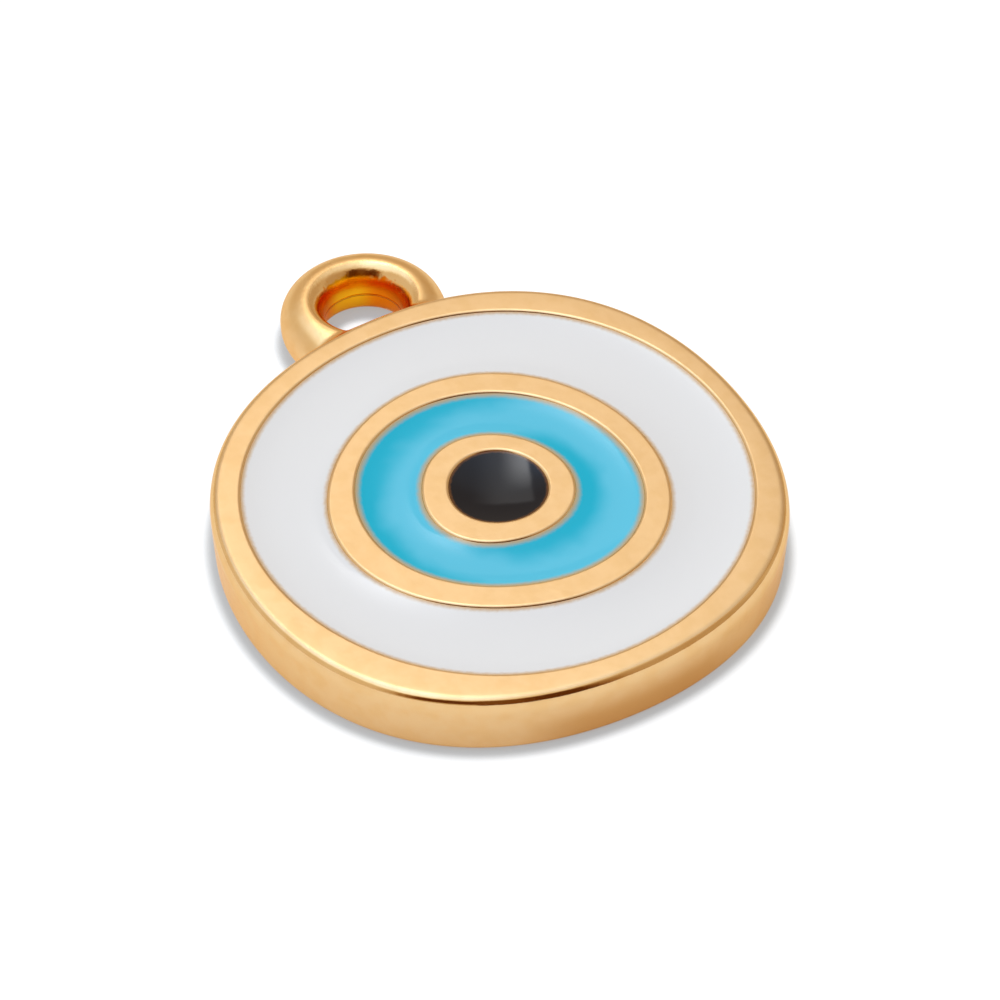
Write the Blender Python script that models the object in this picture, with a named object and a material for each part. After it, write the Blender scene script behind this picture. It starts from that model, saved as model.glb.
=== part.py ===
"""Enamelled eye pendant: a gilded casting with a hanging loop and three cells of enamel.

Metres, +Z up. The origin is the middle of the disc's flat back. +Y points to the hanging
loop and +Z out of the enamelled face. The pendant lies on its back.
"""

import math

import bmesh
import bpy

MM = 0.001

# Disc, in millimetres
THICKNESS = 1.76
DRAFT = 0.06                # the base is this much narrower, so that the casting left its mould
BACK_ROUND = 0.21
RIM_ROUND_WIDTH = 0.28      # the polished outer shoulder is taller than it is wide
RIM_ROUND_HEIGHT = 0.42
RIM_ROUND_POWER = 2.6       # 2 would be a plain oval shoulder, more keeps its edge crisper
CELL_DEPTH = 0.66
WALL_SHOULDER = 0.08        # small round where each metal top turns down to its enamel

# Enamel, in millimetres
SIDE_GAP = 0.025
UNDER_GAP = 0.03
ENAMEL_EDGE_DROP = 0.05     # the enamel meets its wall this far below the metal's top

# Hanging loop, in millimetres: a ring lying flat, cast in one with the rim
LOOP_CENTRE_Y = 7.93
LOOP_CENTRE_Z = 0.79
LOOP_PATH_RADIUS = 1.45
LOOP_PATH_OVAL = 0.032      # wider across the pendant than along it
LOOP_OUTER_HALF_WIDTH = 0.675
LOOP_INNER_HALF_WIDTH = 0.46
LOOP_HALF_HEIGHT = 0.74
LOOP_TOP_POWER = 2.0        # a plain oval section, whose top slopes into the hole like a funnel
LOOP_BASE_POWER = 2.6       # more is squarer: below its waist the hole is nearly straight
LOOP_FOOT_SPREAD_LEFT = 0.46    # each foot swells outwards by up to this inside the rim
LOOP_FOOT_SPREAD_RIGHT = 0.14
LOOP_FOOT_START = 90.0          # degrees round the ring from its point nearest the disc
LOOP_FOOT_END = 44.0
LOOP_FOOT_OPENING = 0.06        # how far the hole widens there, until the rim closes it

# Each edge is a hand-made circle. For the shift, the oval, the three lobes and the four
# lobes: size in millimetres, then direction in degrees, counter-clockwise from +X.
EDGE_COLUMNS = ("radius", "shift", "oval", "three_lobes", "four_lobes")
EDGES = {
    "disc_outline": (7.070, (0.000, 0), (0.093, 36), (0.065, 69), (0.106, 50)),
    "white_outer": (6.243, (0.039, 50), (0.028, 24), (0.037, 47), (0.033, 58)),
    "white_inner": (4.139, (0.105, -120), (0.058, -33), (0.098, 70), (0.013, 16)),
    "turquoise_outer": (3.430, (0.056, -121), (0.104, -41), (0.052, 74), (0.015, 36)),
    "turquoise_inner": (1.896, (0.054, -165), (0.009, -50), (0.048, 92), (0.010, 27)),
    "pupil_outer": (1.225, (0.024, 100), (0.013, 77), (0.016, 83), (0.004, 21)),
}

# Enamel cells: inner edge, outer edge, how hollow the enamel lies, segments round
CELL_COLUMNS = ("inner", "outer", "hollow", "segments")
CELLS = {
    "white_enamel_ring": ("white_inner", "white_outer", 0.10, 96),
    "turquoise_enamel_ring": ("turquoise_inner", "turquoise_outer", 0.09, 72),
    "black_enamel_pupil": (None, "pupil_outer", 0.14, 48),
}

DISC_SEGMENTS = 96
BACK_ROUND_STEPS = 3
RIM_ROUND_STEPS = 5
SHOULDER_STEPS = 2
LOOP_SEGMENTS = 48
SECTION_SEGMENTS = 16
SHARP_ANGLE = math.radians(35.0)
ENAMEL_STEPS_ACROSS = (0.0, 0.07, 0.18, 0.34, 0.5, 0.66, 0.82, 0.93, 1.0)
PUPIL_STEPS_ACROSS = (0.2, 0.4, 0.6, 0.8, 1.0)
MENISCUS_POWER = 3.0        # the enamel's middle is nearly flat and climbs at the walls
PUPIL_POWER = 2.0           # the small pupil is an even dish

# Finishes: colour, roughness, metallic
FINISHES = {
    "cast_body": ((0.87, 0.62, 0.28, 1.0), 0.25, 1.0),
    "white_enamel_ring": ((0.80, 0.80, 0.81, 1.0), 0.12, 0.0),
    "turquoise_enamel_ring": ((0.05, 0.50, 0.70, 1.0), 0.12, 0.0),
    "black_enamel_pupil": ((0.012, 0.011, 0.013, 1.0), 0.08, 0.0),
}


def clear_scene():
    for old in list(bpy.data.objects):
        bpy.data.objects.remove(old, do_unlink=True)


def make_material(name):
    colour, roughness, metallic = FINISHES[name]
    material = bpy.data.materials.new(name)
    material.use_nodes = True
    shader = material.node_tree.nodes["Principled BSDF"]
    shader.inputs["Base Color"].default_value = colour
    shader.inputs["Roughness"].default_value = roughness
    shader.inputs["Metallic"].default_value = metallic
    return material


def edge_radius(name, angle):
    """Distance of a hand-made edge from the disc's middle, in the direction of angle."""
    row = dict(zip(EDGE_COLUMNS, EDGES[name]))
    radius = row["radius"]
    for lobes, column in enumerate(("shift", "oval", "three_lobes", "four_lobes"), start=1):
        size, direction = row[column]
        radius += size * math.cos(lobes * (angle - math.radians(direction)))
    return radius


def even_angles(count):
    return [2.0 * math.pi * step / count for step in range(count)]


def round_the_disc(edge, grow, height, count):
    """A level loop of points that follows an edge, grown outwards by grow."""
    loop = []
    for angle in even_angles(count):
        radius = edge_radius(edge, angle) + grow
        loop.append((radius * math.cos(angle), radius * math.sin(angle), height))
    return loop


def quarter_round(steps):
    """Pairs (sine, cosine) from 0 to 90 degrees."""
    return [(math.sin(math.pi / 2 * step / steps), math.cos(math.pi / 2 * step / steps))
            for step in range(steps + 1)]


def rounded_power(value, power):
    """Turns a sine or cosine into a coordinate on an oval, which is squarer the higher the power."""
    return math.copysign(abs(value) ** (2.0 / power), value)


def solid_from_loops(name, loops, ring=False):
    """Joins neighbouring loops of points with quads. A ring closes on itself, others get caps."""
    mesh = bmesh.new()
    rows = [[mesh.verts.new([value * MM for value in point]) for point in loop] for loop in loops]
    pairs = list(zip(rows, rows[1:]))
    if ring:
        pairs.append((rows[-1], rows[0]))
    for lower, upper in pairs:
        for here in range(len(lower)):
            after = (here + 1) % len(lower)
            mesh.faces.new((lower[here], lower[after], upper[after], upper[here]))
    if not ring:
        mesh.faces.new(rows[0])
        mesh.faces.new(rows[-1])
    bmesh.ops.recalc_face_normals(mesh, faces=mesh.faces)
    data = bpy.data.meshes.new(name)
    mesh.to_mesh(data)
    mesh.free()
    data.shade_smooth()
    data.set_sharp_from_angle(angle=SHARP_ANGLE)
    solid = bpy.data.objects.new(name, data)
    bpy.context.scene.collection.objects.link(solid)
    return solid


def make_guide(solid):
    """Marks a solid that only shapes another one."""
    solid.hide_render = True
    solid.display_type = "WIRE"
    return solid


def apply_boolean(target, tool, operation):
    modifier = target.modifiers.new(f"{operation.lower()}_{tool.name}", "BOOLEAN")
    modifier.operation = operation
    modifier.solver = "EXACT"
    modifier.object = tool


def make_disc_blank():
    """The disc before its cells are cut: rounded back edge, drafted side, tall rim round."""
    loops = []
    for sine, cosine in quarter_round(BACK_ROUND_STEPS):
        inset = DRAFT + BACK_ROUND * (1.0 - sine)
        loops.append(round_the_disc("disc_outline", -inset, BACK_ROUND * (1.0 - cosine), DISC_SEGMENTS))
    spring = THICKNESS - RIM_ROUND_HEIGHT
    for sine, cosine in quarter_round(RIM_ROUND_STEPS):
        inset = RIM_ROUND_WIDTH * (1.0 - rounded_power(cosine, RIM_ROUND_POWER))
        height = spring + RIM_ROUND_HEIGHT * rounded_power(sine, RIM_ROUND_POWER)
        loops.append(round_the_disc("disc_outline", -inset, height, DISC_SEGMENTS))
    return solid_from_loops("cast_body", loops)


def loop_half_widths(angle):
    """Half widths of the loop's section outside and inside its path, by the angle round it from +X."""
    from_rim = math.degrees(math.acos(-math.sin(angle)))
    part = (LOOP_FOOT_START - from_rim) / (LOOP_FOOT_START - LOOP_FOOT_END)
    foot = min(max(part, 0.0), 1.0) ** 2
    spread = LOOP_FOOT_SPREAD_LEFT if math.cos(angle) < 0.0 else LOOP_FOOT_SPREAD_RIGHT
    return LOOP_OUTER_HALF_WIDTH + spread * foot, LOOP_INNER_HALF_WIDTH - LOOP_FOOT_OPENING * foot


def make_loop_blank():
    """The whole ring of the hanging loop. The stretch inside the rim is joined to it."""
    loops = []
    for angle in even_angles(LOOP_SEGMENTS):
        path = LOOP_PATH_RADIUS + LOOP_PATH_OVAL * math.cos(2.0 * angle)
        outside, inside = loop_half_widths(angle)
        section = []
        for turn in even_angles(SECTION_SEGMENTS):
            cosine, sine = math.cos(turn), math.sin(turn)
            power = LOOP_TOP_POWER if sine > 0.0 else LOOP_BASE_POWER
            across = rounded_power(cosine, power)
            radius = path + across * (outside if across > 0.0 else inside)
            height = LOOP_CENTRE_Z + LOOP_HALF_HEIGHT * rounded_power(sine, power)
            section.append((radius * math.cos(angle), LOOP_CENTRE_Y + radius * math.sin(angle), height))
        loops.append(section)
    return make_guide(solid_from_loops("loop_blank", loops, ring=True))


def wall_loops(edge, side, count):
    """One wall of a cell cutter, floor to top. side is +1 for an outer wall, -1 for an inner one."""
    floor = THICKNESS - CELL_DEPTH
    clear_top = THICKNESS + CELL_DEPTH
    loops = [round_the_disc(edge, 0.0, floor, count)]
    for sine, cosine in quarter_round(SHOULDER_STEPS):
        grow = side * WALL_SHOULDER * (1.0 - cosine)
        height = THICKNESS - WALL_SHOULDER * (1.0 - sine)
        loops.append(round_the_disc(edge, grow, height, count))
    loops.append(round_the_disc(edge, side * WALL_SHOULDER, clear_top, count))
    return loops


def make_cell_cutter(name):
    cell = dict(zip(CELL_COLUMNS, CELLS[name]))
    loops = wall_loops(cell["outer"], 1, cell["segments"])
    if cell["inner"]:
        loops += reversed(wall_loops(cell["inner"], -1, cell["segments"]))
    return make_guide(solid_from_loops(f"{name}_cutter", loops, ring=bool(cell["inner"])))


def make_cast_body():
    """Tray, rim, the two ring walls and the loop are one casting, so they are one solid."""
    body = make_disc_blank()
    apply_boolean(body, make_loop_blank(), "UNION")
    for name in CELLS:
        apply_boolean(body, make_cell_cutter(name), "DIFFERENCE")
    return body


def across_cell(cell, share, height):
    """A level loop of points between a cell's two walls, share 0 at the inner and 1 at the outer."""
    loop = []
    for angle in even_angles(cell["segments"]):
        near = edge_radius(cell["inner"], angle) + SIDE_GAP if cell["inner"] else 0.0
        far = edge_radius(cell["outer"], angle) - SIDE_GAP
        radius = near + share * (far - near)
        loop.append((radius * math.cos(angle), radius * math.sin(angle), height))
    return loop


def make_enamel(name):
    """Enamel poured into a cell: flat below, a hollow meniscus above."""
    cell = dict(zip(CELL_COLUMNS, CELLS[name]))
    bottom = THICKNESS - CELL_DEPTH + UNDER_GAP
    edge_height = THICKNESS - ENAMEL_EDGE_DROP
    is_ring = bool(cell["inner"])
    shares = ENAMEL_STEPS_ACROSS if is_ring else PUPIL_STEPS_ACROSS
    loops = []
    for share in shares:
        climb = abs(2.0 * share - 1.0) ** MENISCUS_POWER if is_ring else share ** PUPIL_POWER
        loops.append(across_cell(cell, share, edge_height - cell["hollow"] * (1.0 - climb)))
    loops.append(across_cell(cell, 1.0, bottom))
    if is_ring:
        loops.append(across_cell(cell, 0.0, bottom))
    return solid_from_loops(name, loops, ring=is_ring)


def main():
    clear_scene()
    pendant = bpy.data.objects.new("pendant", None)
    bpy.context.scene.collection.objects.link(pendant)
    pieces = [make_cast_body()] + [make_enamel(name) for name in CELLS]
    for piece in pieces:
        piece.data.materials.append(make_material(piece.name))
        piece.parent = pendant


main()
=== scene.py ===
# %% [markdown]
# # Dressing an enamelled eye pendant
#
# The real thing is a charm no wider than a fingertip: one gilded casting with a hanging loop and
# three cells filled with coloured enamel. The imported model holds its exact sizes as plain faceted
# solids. This script measures those solids and builds a finer skin over the same outlines, so that
# every piece goes where the construction says and nothing has to be fitted afterwards.

# %% Load the frame
import math
from contextlib import contextmanager

import bmesh
import bpy
import numpy as np
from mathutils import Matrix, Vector


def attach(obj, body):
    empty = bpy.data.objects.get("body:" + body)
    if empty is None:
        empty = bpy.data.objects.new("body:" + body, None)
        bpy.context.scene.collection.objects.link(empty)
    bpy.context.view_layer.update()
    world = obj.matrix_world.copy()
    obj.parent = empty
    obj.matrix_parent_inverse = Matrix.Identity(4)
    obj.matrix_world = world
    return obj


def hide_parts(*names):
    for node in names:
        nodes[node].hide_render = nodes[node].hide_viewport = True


MM = 0.001
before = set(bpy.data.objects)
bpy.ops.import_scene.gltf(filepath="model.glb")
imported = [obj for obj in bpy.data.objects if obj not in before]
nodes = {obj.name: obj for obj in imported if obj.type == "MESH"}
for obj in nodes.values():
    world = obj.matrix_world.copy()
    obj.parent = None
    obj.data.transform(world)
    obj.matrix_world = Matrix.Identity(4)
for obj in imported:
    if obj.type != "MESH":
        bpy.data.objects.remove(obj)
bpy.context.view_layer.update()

# %% [markdown]
# ## The camera
#
# Small jewellery is photographed with a long lens from well back, which keeps circles close to
# true ellipses. The camera stands at the loop's far side, so the pendant is seen from its foot,
# turned a little, and from halfway up.

# %% Set the camera
CAMERA_AZIMUTH = math.radians(-26.0)
CAMERA_ELEVATION = math.radians(45.0)
CAMERA_DISTANCE = 103.8 * MM
CAMERA_AIM = Vector((0.592, 1.132, 0.0)) * MM
LENS = 150.0
SENSOR = 36.0


def new_object(name, data):
    made = bpy.data.objects.new(name, data)
    bpy.context.scene.collection.objects.link(made)
    return made


def make_camera():
    level = math.cos(CAMERA_ELEVATION)
    back = Vector((math.sin(CAMERA_AZIMUTH) * level, -math.cos(CAMERA_AZIMUTH) * level,
                   math.sin(CAMERA_ELEVATION)))
    lens = bpy.data.cameras.new("camera")
    lens.lens = LENS
    lens.sensor_width = SENSOR
    lens.clip_start = 1.0 * MM
    camera = new_object("camera", lens)
    camera.location = CAMERA_AIM + back * CAMERA_DISTANCE
    camera.rotation_euler = back.to_track_quat("Z", "Y").to_euler()
    bpy.context.scene.camera = camera
    bpy.context.scene.view_settings.view_transform = "Standard"


make_camera()
print("camera distance:", CAMERA_DISTANCE / MM, "mm")

# %% [markdown]
# ## Hand-made outlines, measured
#
# No edge of this charm is a true circle: its maker drew each one by eye. Such an edge is a radius
# that changes slowly with the angle, so a mean radius and a few waves round the disc describe it
# fully. We read the solids' vertices on one level and find those waves by least squares. That is
# better than copying numbers, because the skin then follows the solids whatever they become.

# %% Measure the outlines of the casting
WAVES = 4
LEVEL_TOLERANCE = 0.0005
NEAR_WALL = 0.1  # the casting's wall is at most this far from its enamel
CORE_SHARE = 0.5  # the cells' floor is looked for within this share of the reach
OUTER_SHARE = 0.8  # an enamel's outer edge lies beyond this share of its reach
LOOP_SIDE = math.radians(30.0)
ENAMELS = {
    "white": "white_enamel_ring",
    "turquoise": "turquoise_enamel_ring",
    "black": "black_enamel_pupil",
}


def node_points(name):
    """The vertices of one solid, in millimetres."""
    return np.array([vertex.co for vertex in nodes[name].data.vertices]) / MM


def polar(points):
    return np.arctan2(points[:, 1], points[:, 0]), np.hypot(points[:, 0], points[:, 1])


def wave_columns(angles):
    columns = [np.ones_like(angles)]
    for wave in range(1, WAVES + 1):
        columns += [np.cos(wave * angles), np.sin(wave * angles)]
    return np.stack(columns, axis=-1)


def fit_outline(points):
    angles, radii = polar(points)
    return np.linalg.lstsq(wave_columns(angles), radii, rcond=None)[0]


def outline_radius(outline, angles):
    return wave_columns(angles) @ outline


def wall_near(enamel_edge, floor_points):
    """The casting's wall that stands beside an enamel's edge."""
    angles, radii = polar(floor_points)
    close = np.abs(radii - outline_radius(fit_outline(enamel_edge), angles)) < NEAR_WALL
    return fit_outline(floor_points[close])


def measure_casting():
    """Outlines and heights of the casting, in millimetres."""
    points = node_points("cast_body")
    angles, radii = polar(points)
    inside = (radii < CORE_SHARE * radii.max()) & (points[:, 2] > LEVEL_TOLERANCE)
    floor = points[inside, 2].min()
    outline = fit_outline(points[points[:, 2] < LEVEL_TOLERANCE])
    away = np.abs(angles - math.pi / 2) > LOOP_SIDE
    overhang = (radii - outline_radius(outline, angles))[away]
    widest = overhang > overhang.max() - LEVEL_TOLERANCE
    outline[0] += overhang.max()
    found = {"disc": outline}
    floor_points = points[np.abs(points[:, 2] - floor) < LEVEL_TOLERANCE]
    for colour, node in ENAMELS.items():
        enamel = node_points(node)
        underside = enamel[enamel[:, 2] < enamel[:, 2].min() + LEVEL_TOLERANCE]
        reach = polar(underside)[1]
        outer = reach > OUTER_SHARE * reach.max()
        found[f"{colour}_outer"] = wall_near(underside[outer], floor_points)
        if not outer.all():
            found[f"{colour}_inner"] = wall_near(underside[~outer], floor_points)
    return found, {"top": points[:, 2].max(), "floor": floor, "spring": points[away][widest, 2].max()}


outlines, heights = measure_casting()
for name, outline in outlines.items():
    print(f"{name}: mean radius {outline[0]:.3f} mm, waves {np.round(outline[1:], 3)}")
print("heights in mm:", {name: round(float(value), 3) for name, value in heights.items()})

# %% [markdown]
# ## The casting, turned on its outlines
#
# Apart from its loop the casting is a turned form whose radius follows the measured outlines. It
# could be cut with booleans, as the solid is. We loft it instead: a list of level loops runs from
# the back's middle up the side, over the rim and down into each cell, and neighbouring loops are
# joined with quads. Every curve can then be as fine as polished metal needs. The polished shoulder
# of the rim is taller than it is wide, and the flat tops dip a little towards it, as a buffing
# wheel leaves them.

# %% Lay out the loops of the disc
OUTLINE_TRIM = 0.004  # keeps the rounder skin inside the faceted solid's box
DRAFT = 0.06
BACK_ROUND = 0.21
RIM_ROUND_WIDTH = 0.28
RIM_ROUND_POWER = 2.6
BUFFED_WIDTH = 0.42  # how far the dip reaches from the shoulder over the flat rim
BUFFED_DEPTH = 0.004
SHOULDER = 0.08
FLAT_SUPPORT = 0.015  # a loop this close to each shoulder keeps the flats' shading flat
FINE_STEP = math.radians(0.3)
COARSE_STEP = math.radians(0.75)
LOOP_BEARING = math.pi / 2
TINY = 1e-9  # guards against rounding
# Where the level loops lie: shares of a plain stretch, or how many there are
BACK_SHARES = (0.3, 0.6, 0.85, 0.97)
FLOOR_SHARES = (0.33, 0.66)
FLAT_SHARES = (0.2, 0.4, 0.6, 0.8)
BACK_ROUND_LOOPS = 9
SIDE_LOOPS = 12
RIM_ROUND_LOOPS = 25
RIM_FLAT_LOOPS = 14
SHOULDER_LOOPS = 8


def column_angles():
    """Angles of the columns round the disc, closer together where the loop joins it."""
    fine = np.arange(-LOOP_SIDE, LOOP_SIDE - TINY, FINE_STEP)
    coarse = np.arange(LOOP_SIDE, 2 * math.pi - LOOP_SIDE - TINY, COARSE_STEP)
    return LOOP_BEARING + np.concatenate([fine, coarse])


def quarter_turn(count):
    return np.linspace(0.0, math.pi / 2, count)


def shares_between(count):
    """Shares of the way between two edges, without the edges."""
    return np.linspace(0.0, 1.0, count)[1:-1]


def rounded_power(value, power):
    """Turns a sine or cosine into a coordinate on an oval, which is squarer the higher the power."""
    return np.sign(value) * np.abs(value) ** (2.0 / power)


def buffed(distance):
    """How far the flat rim lies below the top at a distance inside the rim's shoulder."""
    part = np.clip(1.0 - distance / BUFFED_WIDTH, 0.0, 1.0)
    return BUFFED_DEPTH * part ** 2


def disc_loops(angles):
    """Level loops (radii, height) from the back's middle to the middle of the pupil's floor."""
    edge = {name: outline_radius(outline, angles) for name, outline in outlines.items()}
    edge["disc"] = edge["disc"] - OUTLINE_TRIM
    top, floor, spring = heights["top"], heights["floor"], heights["spring"]
    back_edge = edge["disc"] - DRAFT - BACK_ROUND
    loops = [(back_edge * share, 0.0) for share in BACK_SHARES]
    for turn in quarter_turn(BACK_ROUND_LOOPS):
        inset = DRAFT + BACK_ROUND * (1.0 - math.sin(turn))
        loops.append((edge["disc"] - inset, BACK_ROUND * (1.0 - math.cos(turn))))
    for share in shares_between(SIDE_LOOPS):
        loops.append((edge["disc"] - DRAFT * (1.0 - share), BACK_ROUND + share * (spring - BACK_ROUND)))
    for turn in quarter_turn(RIM_ROUND_LOOPS):
        inset = RIM_ROUND_WIDTH * (1.0 - rounded_power(math.cos(turn), RIM_ROUND_POWER))
        rise = (top - BUFFED_DEPTH - spring) * rounded_power(math.sin(turn), RIM_ROUND_POWER)
        loops.append((edge["disc"] - inset, spring + rise))
    flat_outer = edge["disc"] - RIM_ROUND_WIDTH
    flat_inner = edge["white_outer"] + SHOULDER
    for share in shares_between(RIM_FLAT_LOOPS):
        radii = flat_outer + share * (flat_inner - flat_outer)
        loops.append((radii, top - buffed(flat_outer - radii)))
    for colour, inward in (("white", "turquoise"), ("turquoise", "black")):
        outer, inner = edge[f"{colour}_outer"], edge[f"{colour}_inner"]
        loops += cell_loops(outer, inner, top, floor)
        loops += flat_loops(inner, edge[f"{inward}_outer"], top)
    loops += wall_loops(edge["black_outer"], 1.0, top, floor)
    loops += [(edge["black_outer"] * share, floor) for share in FLOOR_SHARES[::-1]]
    return loops


def wall_loops(wall, side, top, floor):
    """From the flat top over the small shoulder down to the floor. side is -1 for an inner wall."""
    loops = [(wall + side * (SHOULDER + FLAT_SUPPORT), top)]
    for turn in quarter_turn(SHOULDER_LOOPS):
        inset = SHOULDER * (1.0 - math.sin(turn))
        loops.append((wall + side * inset, top - SHOULDER * (1.0 - math.cos(turn))))
    loops.append((wall, 0.5 * (top + floor)))
    loops.append((wall, floor))
    return loops


def cell_loops(outer, inner, top, floor):
    across = [(outer + share * (inner - outer), floor) for share in FLOOR_SHARES]
    return wall_loops(outer, 1.0, top, floor) + across + wall_loops(inner, -1.0, top, floor)[::-1]


def flat_loops(outer, inner, top):
    """The level top between two cells, a ring's flat."""
    start, end = outer - SHOULDER, inner + SHOULDER
    return [(start + share * (end - start), top) for share in FLAT_SHARES]


def loft_disc(angles):
    """Joins the loops with quads and closes both poles."""
    loops = disc_loops(angles)
    columns = len(angles)
    points = [[0.0, 0.0, 0.0]]
    for radii, height in loops:
        height = np.broadcast_to(height, radii.shape)
        points += np.stack([radii * np.cos(angles), radii * np.sin(angles), height], axis=1).tolist()
    points.append([0.0, 0.0, heights["floor"]])
    pairs = [(here, (here + 1) % columns) for here in range(columns)]
    faces = [(0, 1 + after, 1 + here) for here, after in pairs]
    for row in range(len(loops) - 1):
        low, high = 1 + row * columns, 1 + (row + 1) * columns
        faces += [(low + here, low + after, high + after, high + here) for here, after in pairs]
    last = 1 + (len(loops) - 1) * columns
    faces += [(last + here, last + after, len(points) - 1) for here, after in pairs]
    return make_object("disc_skin", points, faces)


def make_object(name, points, faces):
    """A mesh object from points in millimetres."""
    mesh = bpy.data.meshes.new(name)
    mesh.from_pydata((np.array(points) * MM).tolist(), [], faces)
    mesh.update()
    return new_object(name, mesh)


def evaluated_mesh(made):
    graph = bpy.context.evaluated_depsgraph_get()
    return bpy.data.meshes.new_from_object(made.evaluated_get(graph))


@contextmanager
def editing(data):
    """Opens a mesh, and writes it back with all its faces turned outward."""
    mesh = bmesh.new()
    mesh.from_mesh(data)
    yield mesh
    bmesh.ops.recalc_face_normals(mesh, faces=mesh.faces)
    mesh.to_mesh(data)
    mesh.free()


disc_skin = loft_disc(column_angles())
print("disc skin:", len(disc_skin.data.polygons), "faces")

# %% [markdown]
# ## The hanging loop
#
# The loop is a fat ring that lies flat against the rim, cast in one with it. Its section is an
# oval, fuller outside and narrower inside, where the top slopes into the hole like a funnel and
# the hole's wall then drops nearly straight. Its outer side swells where it runs into the disc. We
# sweep that section round the ring by formula, then cut the ring off inside the rim's metal.

# %% Sweep the loop
LOOP_CENTRE = (0.0, 7.93, 0.79)
LOOP_PATH_RADIUS = 1.45
LOOP_PATH_OVAL = 0.032
LOOP_OUTER_HALF_WIDTH = 0.675
LOOP_INNER_HALF_WIDTH = 0.46
LOOP_HALF_HEIGHT = 0.74
LOOP_TOP_POWER = 2.0
LOOP_BASE_POWER = 2.6
LOOP_FOOT_SPREADS = (0.46, 0.14)  # left and right foot
LOOP_FOOT_START = math.radians(90.0)
LOOP_FOOT_END = math.radians(44.0)
LOOP_FOOT_OPENING = 0.06
LOOP_CUT_Y = 6.5
LOOP_STATIONS = 240
SECTION_POINTS = 80
CUT_TOLERANCE = 1e-7


def loop_half_width(turn, across):
    """Half width of the section on the side that across is on, by the angle round the ring."""
    from_rim = np.arccos(np.clip(-np.sin(turn), -1.0, 1.0))
    part = np.clip((LOOP_FOOT_START - from_rim) / (LOOP_FOOT_START - LOOP_FOOT_END), 0.0, 1.0)
    foot = part ** 2
    spread = np.where(np.cos(turn) < 0.0, LOOP_FOOT_SPREADS[0], LOOP_FOOT_SPREADS[1])
    outer = LOOP_OUTER_HALF_WIDTH + spread * foot
    inner = LOOP_INNER_HALF_WIDTH - LOOP_FOOT_OPENING * foot
    return np.where(across > 0.0, outer, inner)


def section_power(rise):
    return np.where(rise > 0.0, LOOP_TOP_POWER, LOOP_BASE_POWER)


def loop_path(turn):
    return LOOP_PATH_RADIUS + LOOP_PATH_OVAL * np.cos(2.0 * turn)


def sweep_loop():
    turns = np.linspace(0.0, 2 * math.pi, LOOP_STATIONS, endpoint=False)[:, None]
    section = np.linspace(0.0, 2 * math.pi, SECTION_POINTS, endpoint=False)[None, :]
    power = section_power(np.sin(section))
    across = rounded_power(np.cos(section), power)
    radii = loop_path(turns) + across * loop_half_width(turns, across)
    height = LOOP_CENTRE[2] + LOOP_HALF_HEIGHT * rounded_power(np.sin(section), power)
    points = np.stack([
        LOOP_CENTRE[0] + radii * np.cos(turns),
        LOOP_CENTRE[1] + radii * np.sin(turns),
        np.broadcast_to(height, radii.shape),
    ], axis=-1).reshape(-1, 3)
    faces = []
    for station in range(LOOP_STATIONS):
        here = station * SECTION_POINTS
        there = (station + 1) % LOOP_STATIONS * SECTION_POINTS
        for step in range(SECTION_POINTS):
            after = (step + 1) % SECTION_POINTS
            faces.append((here + step, there + step, there + after, here + after))
    return make_object("loop_skin", points, faces)


def cut_inside_rim(loop):
    """Removes the stretch of the ring that lies inside the disc and closes the cut."""
    with editing(loop.data) as mesh:
        everything = mesh.verts[:] + mesh.edges[:] + mesh.faces[:]
        cut = bmesh.ops.bisect_plane(mesh, geom=everything, dist=CUT_TOLERANCE, clear_outer=True,
                                     plane_co=(0.0, LOOP_CUT_Y * MM, 0.0), plane_no=(0.0, -1.0, 0.0))
        rim = [piece for piece in cut["geom_cut"] if isinstance(piece, bmesh.types.BMEdge)]
        bmesh.ops.holes_fill(mesh, edges=rim, sides=0)


loop_skin = sweep_loop()
cut_inside_rim(loop_skin)
print("loop skin:", len(loop_skin.data.polygons), "faces")

# %% [markdown]
# ## One casting, with soft feet
#
# Loop and rim are one piece of metal, so the two skins are united with an exact boolean. That
# leaves a knife-sharp crease, which no casting has: metal runs into metal in a soft valley. We
# describe both forms as distances, blend the two distances with a smooth minimum, and draw the
# triangles near the crease onto the surface where the blend is zero. The triangles are first made
# small and even there, so that the polish shows no facets.

# %% Describe disc and loop as distances
FILLET = 0.24
SLOPE_STEP = 0.0005
NEVER_ZERO = 1e-6
DRAW_ROUNDS = 3
DRAW_LIMIT = 0.1  # the longest move of one round


def oval_distance(side, rise, width, height, power):
    """Distance outside an oval of that power, from shares of its half width and half height."""
    total = np.maximum(side ** power + rise ** power, TINY)
    size = total ** (1.0 / power)
    slope = np.hypot(side ** (power - 1.0) / width, rise ** (power - 1.0) / height)
    return (size - 1.0) / (slope * total ** (1.0 / power - 1.0))


def disc_distance(points):
    """Distance outside the disc's side and rim, negative within, in millimetres."""
    angles, radii = polar(points)
    out = radii - (outline_radius(outlines["disc"], angles) - OUTLINE_TRIM)
    z = points[:, 2]
    spring = heights["spring"]
    rise = heights["top"] - BUFFED_DEPTH - spring
    side = out + DRAFT * np.clip((spring - z) / (spring - BACK_ROUND), 0.0, 1.0)
    across = np.clip(out + RIM_ROUND_WIDTH, NEVER_ZERO, None) / RIM_ROUND_WIDTH
    shoulder = oval_distance(across, np.clip(z - spring, 0.0, None) / rise, RIM_ROUND_WIDTH, rise,
                             RIM_ROUND_POWER)
    corner = np.hypot(np.clip(out + DRAFT + BACK_ROUND, 0.0, None), BACK_ROUND - z) - BACK_ROUND
    return np.where(z > spring, shoulder, np.where(z < BACK_ROUND, corner, side))


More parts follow.
